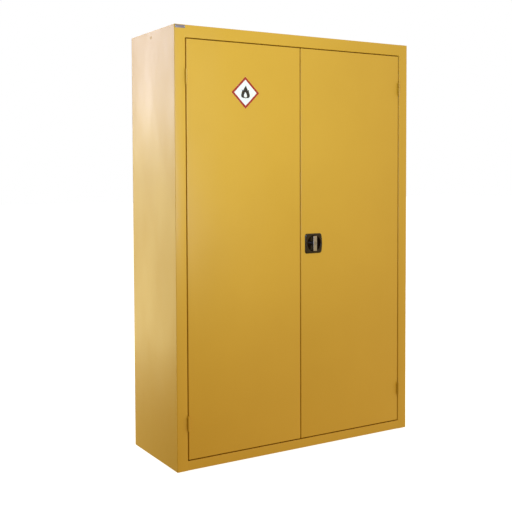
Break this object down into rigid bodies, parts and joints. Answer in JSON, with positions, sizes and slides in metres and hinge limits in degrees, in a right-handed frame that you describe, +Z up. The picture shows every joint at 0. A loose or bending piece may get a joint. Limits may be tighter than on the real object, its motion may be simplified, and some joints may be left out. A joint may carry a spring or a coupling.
{
  "type": "flammable storage cabinet",
  "caption": "Tall steel cabinet with double hinged doors, a recessed turn handle that drives latch rods, lipped shelves on slotted uprights and a liquid-tight sump base.",
  "frame": {"origin": "middle of the footprint, handle included, on the floor", "axes": "+Z up; the doors face -Y; +X is to the right of someone facing the doors"},
  "size_m": [1.2, 0.443, 1.8],
  "materials": {
    "yellow_powder_coat": "semi-gloss yellow powder coat on folded sheet steel",
    "galvanised_steel": "zinc-plated steel",
    "bright_steel": "bright drawn steel",
    "satin_chrome": "satin-chromed zinc casting",
    "black_plastic": "glossy black moulded plastic",
    "label_vinyl": "printed self-adhesive vinyl",
    "grey_plate": "blank plastic name plate"
  },
  "bodies": {
    "carcass": {"back_panel": "yellow_powder_coat", "top_panel": "yellow_powder_coat", "base_rail_front": "yellow_powder_coat", "base_rail_rear": "yellow_powder_coat", "sump_tray": "yellow_powder_coat", "side_panel_left": "yellow_powder_coat", "side_panel_right": "yellow_powder_coat", "blank_name_plate": "grey_plate", "upright_front_left": "yellow_powder_coat", "upright_rear_left": "yellow_powder_coat", "upright_front_right": "yellow_powder_coat", "upright_rear_right": "yellow_powder_coat", "shelf_1": "yellow_powder_coat", "shelf_2": "yellow_powder_coat", "shelf_3": "yellow_powder_coat", "shelf_clip_1_front_left": "galvanised_steel", "shelf_clip_2_front_left": "galvanised_steel", "shelf_clip_3_front_left": "galvanised_steel", "shelf_clip_1_rear_left": "galvanised_steel", "shelf_clip_2_rear_left": "galvanised_steel", "shelf_clip_3_rear_left": "galvanised_steel", "shelf_clip_1_front_right": "galvanised_steel", "shelf_clip_2_front_right": "galvanised_steel", "shelf_clip_3_front_right": "galvanised_steel", "shelf_clip_1_rear_right": "galvanised_steel", "shelf_clip_2_rear_right": "galvanised_steel", "shelf_clip_3_rear_right": "galvanised_steel", "hinge_frame_leaf_upper_left": "yellow_powder_coat", "hinge_frame_leaf_lower_left": "yellow_powder_coat", "hinge_frame_leaf_upper_right": "yellow_powder_coat", "hinge_frame_leaf_lower_right": "yellow_powder_coat", "hinge_pin_upper_left": "yellow_powder_coat", "hinge_pin_lower_left": "yellow_powder_coat", "hinge_pin_upper_right": "yellow_powder_coat", "hinge_pin_lower_right": "yellow_powder_coat"},
    "door_left": {"door_left": "yellow_powder_coat", "door_stiffener_left": "yellow_powder_coat", "hinge_door_leaf_upper_left": "yellow_powder_coat", "hinge_door_leaf_lower_left": "yellow_powder_coat", "hazard_label": "label_vinyl", "bolt_guide_upper": "galvanised_steel", "bolt_guide_lower": "galvanised_steel"},
    "door_right": {"door_right": "yellow_powder_coat", "door_stiffener_right": "yellow_powder_coat", "hinge_door_leaf_upper_right": "yellow_powder_coat", "hinge_door_leaf_lower_right": "yellow_powder_coat", "handle_bezel": "black_plastic", "bezel_backplate": "galvanised_steel", "rod_guide_upper": "galvanised_steel", "rod_guide_lower": "galvanised_steel"},
    "handle": {"handle_bar": "satin_chrome", "handle_spindle": "bright_steel", "drive_cam": "galvanised_steel"},
    "lock_barrel": {"lock_barrel": "bright_steel"},
    "rod_upper": {"rod_upper": "bright_steel"},
    "rod_lower": {"rod_lower": "bright_steel"},
    "slide_bolt_upper": {"slide_bolt_upper": "bright_steel"},
    "slide_bolt_lower": {"slide_bolt_lower": "bright_steel"}
  },
  "joints": [
    {"name": "door_left_hinge", "type": "hinge", "parent": "carcass", "child": "door_left", "pos_m": [-0.55, -0.2138, 0.89475], "axis": [0, 0, -1], "range_deg": [0, 175]},
    {"name": "door_right_hinge", "type": "hinge", "parent": "carcass", "child": "door_right", "pos_m": [0.55, -0.2138, 0.89475], "axis": [0, 0, 1], "range_deg": [0, 175]},
    {"name": "handle_turn", "type": "hinge", "parent": "door_right", "child": "handle", "pos_m": [0.069, -0.2085, 0.8995], "axis": [0, -1, 0], "range_deg": [0, 90]},
    {"name": "rod_upper_slide", "type": "slide", "parent": "door_right", "child": "rod_upper", "axis": [0, 0, 1], "range_m": [0, 0.016]},
    {"name": "rod_lower_slide", "type": "slide", "parent": "door_right", "child": "rod_lower", "axis": [0, 0, -1], "range_m": [0, 0.016]},
    {"name": "key_turn", "type": "hinge", "parent": "handle", "child": "lock_barrel", "pos_m": [0.069, -0.2085, 0.8995], "axis": [0, -1, 0], "range_deg": [0, 90]},
    {"name": "bolt_upper_slide", "type": "slide", "parent": "door_left", "child": "slide_bolt_upper", "axis": [0, 0, 1], "range_m": [0, 0.016]},
    {"name": "bolt_lower_slide", "type": "slide", "parent": "door_left", "child": "slide_bolt_lower", "axis": [0, 0, -1], "range_m": [0, 0.016]}
  ],
  "couplings": [
    {"joint": "handle_turn", "follows": "rod_upper_slide", "rad_per_m": 98.17},
    {"joint": "rod_lower_slide", "follows": "rod_upper_slide", "ratio": 1}
  ]
}
